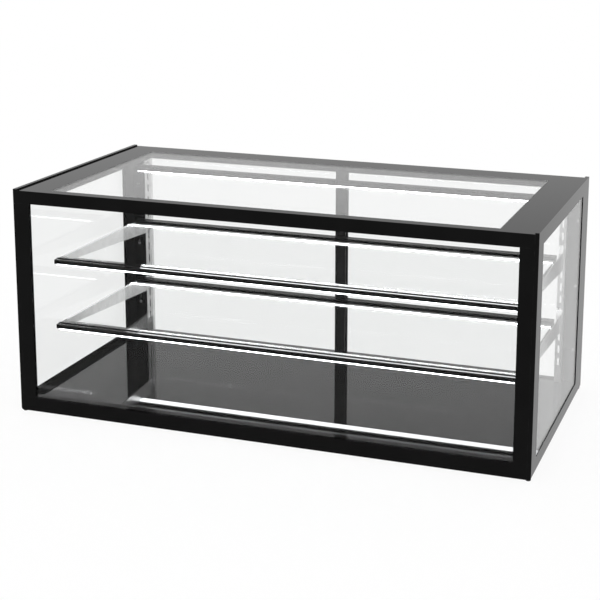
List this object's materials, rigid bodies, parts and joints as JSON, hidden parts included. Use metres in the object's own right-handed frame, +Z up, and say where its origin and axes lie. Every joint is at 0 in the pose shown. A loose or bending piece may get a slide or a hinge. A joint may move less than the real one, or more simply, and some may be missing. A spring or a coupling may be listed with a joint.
{
  "type": "bakery display case",
  "caption": "Countertop glass bakery display case with a black frame, lit glass shelves on brackets and sliding rear doors.",
  "frame": {"origin": "centre of the footprint, on the surface that the feet stand on", "axes": "+X along the case's width to the customer's right, +Y from the customer's side to the rear doors, +Z up"},
  "size_m": [1.2192, 0.6096, 0.5364],
  "materials": {
    "black_frame": "gloss black coated extrusion",
    "shelf_rail_black": "gloss black anodised",
    "deck_laminate": "high gloss",
    "clear_glass": "clear",
    "lit_diffuser": "opal, lit",
    "plated_steel": "bright zinc",
    "light_channel": "satin",
    "galvanised": "galvanised sheet",
    "screw_steel": "plain",
    "rubber_black": "matte",
    "brush_pile": "pile",
    "nylon": "satin",
    "moulded_black": "fine grain"
  },
  "bodies": {
    "case": {"base_pan": "galvanised", "deck_battens": "galvanised", "deck_panel": "deck_laminate", "feet": "rubber_black", "frame_screws": "screw_steel", "front_bottom_rail": "black_frame", "front_glass": "clear_glass", "front_left_stile": "black_frame", "front_right_stile": "black_frame", "front_top_rail": "black_frame", "jamb_screws": "screw_steel", "junction_box": "moulded_black", "left_end_bottom_rail": "black_frame", "left_end_front_stile": "black_frame", "left_end_glass": "clear_glass", "left_end_rear_stile": "black_frame", "left_end_top_rail": "black_frame", "left_standard": "plated_steel", "light_bar_arms": "galvanised", "light_bar_diffuser": "lit_diffuser", "light_bar_housing": "shelf_rail_black", "lower_front_light": "lit_diffuser", "lower_front_rail": "shelf_rail_black", "lower_rear_light": "lit_diffuser", "lower_rear_rail": "shelf_rail_black", "lower_shelf_glass": "clear_glass", "power_inlet": "moulded_black", "rear_bottom_track": "black_frame", "rear_left_jamb": "black_frame", "rear_right_jamb": "black_frame", "rear_top_track": "black_frame", "right_end_bottom_rail": "black_frame", "right_end_front_stile": "black_frame", "right_end_glass": "clear_glass", "right_end_rear_stile": "black_frame", "right_end_top_rail": "black_frame", "right_standard": "plated_steel", "shelf_brackets": "plated_steel", "shelf_end_caps": "shelf_rail_black", "shelf_light_channels": "light_channel", "switch_bezel": "moulded_black", "top_glass": "clear_glass", "top_left_border": "black_frame", "top_rear_border": "black_frame", "top_right_border": "black_frame", "upper_front_light": "lit_diffuser", "upper_front_rail": "shelf_rail_black", "upper_rear_light": "lit_diffuser", "upper_rear_rail": "shelf_rail_black", "upper_shelf_glass": "clear_glass"},
    "left_door": {"left_door_glass": "clear_glass", "left_door_glides": "nylon", "left_door_meeting_stile": "black_frame", "left_door_pull_channel": "black_frame"},
    "right_door": {"right_door_glass": "clear_glass", "right_door_glides": "nylon", "right_door_meeting_stile": "black_frame", "right_door_pull_channel": "black_frame", "door_brush_strip": "brush_pile"},
    "light_switch": {"switch_rocker": "moulded_black"}
  },
  "joints": [
    {"name": "left_door_slide", "type": "slide", "parent": "case", "child": "left_door", "axis": [1, 0, 0], "range_m": [0, 0.57]},
    {"name": "right_door_slide", "type": "slide", "parent": "case", "child": "right_door", "axis": [-1, 0, 0], "range_m": [0, 0.541]},
    {"name": "light_switch_rock", "type": "hinge", "parent": "case", "child": "light_switch", "pos_m": [0.585, 0.2983, 0.265], "axis": [1, 0, 0], "range_deg": [0, 14]}
  ]
}
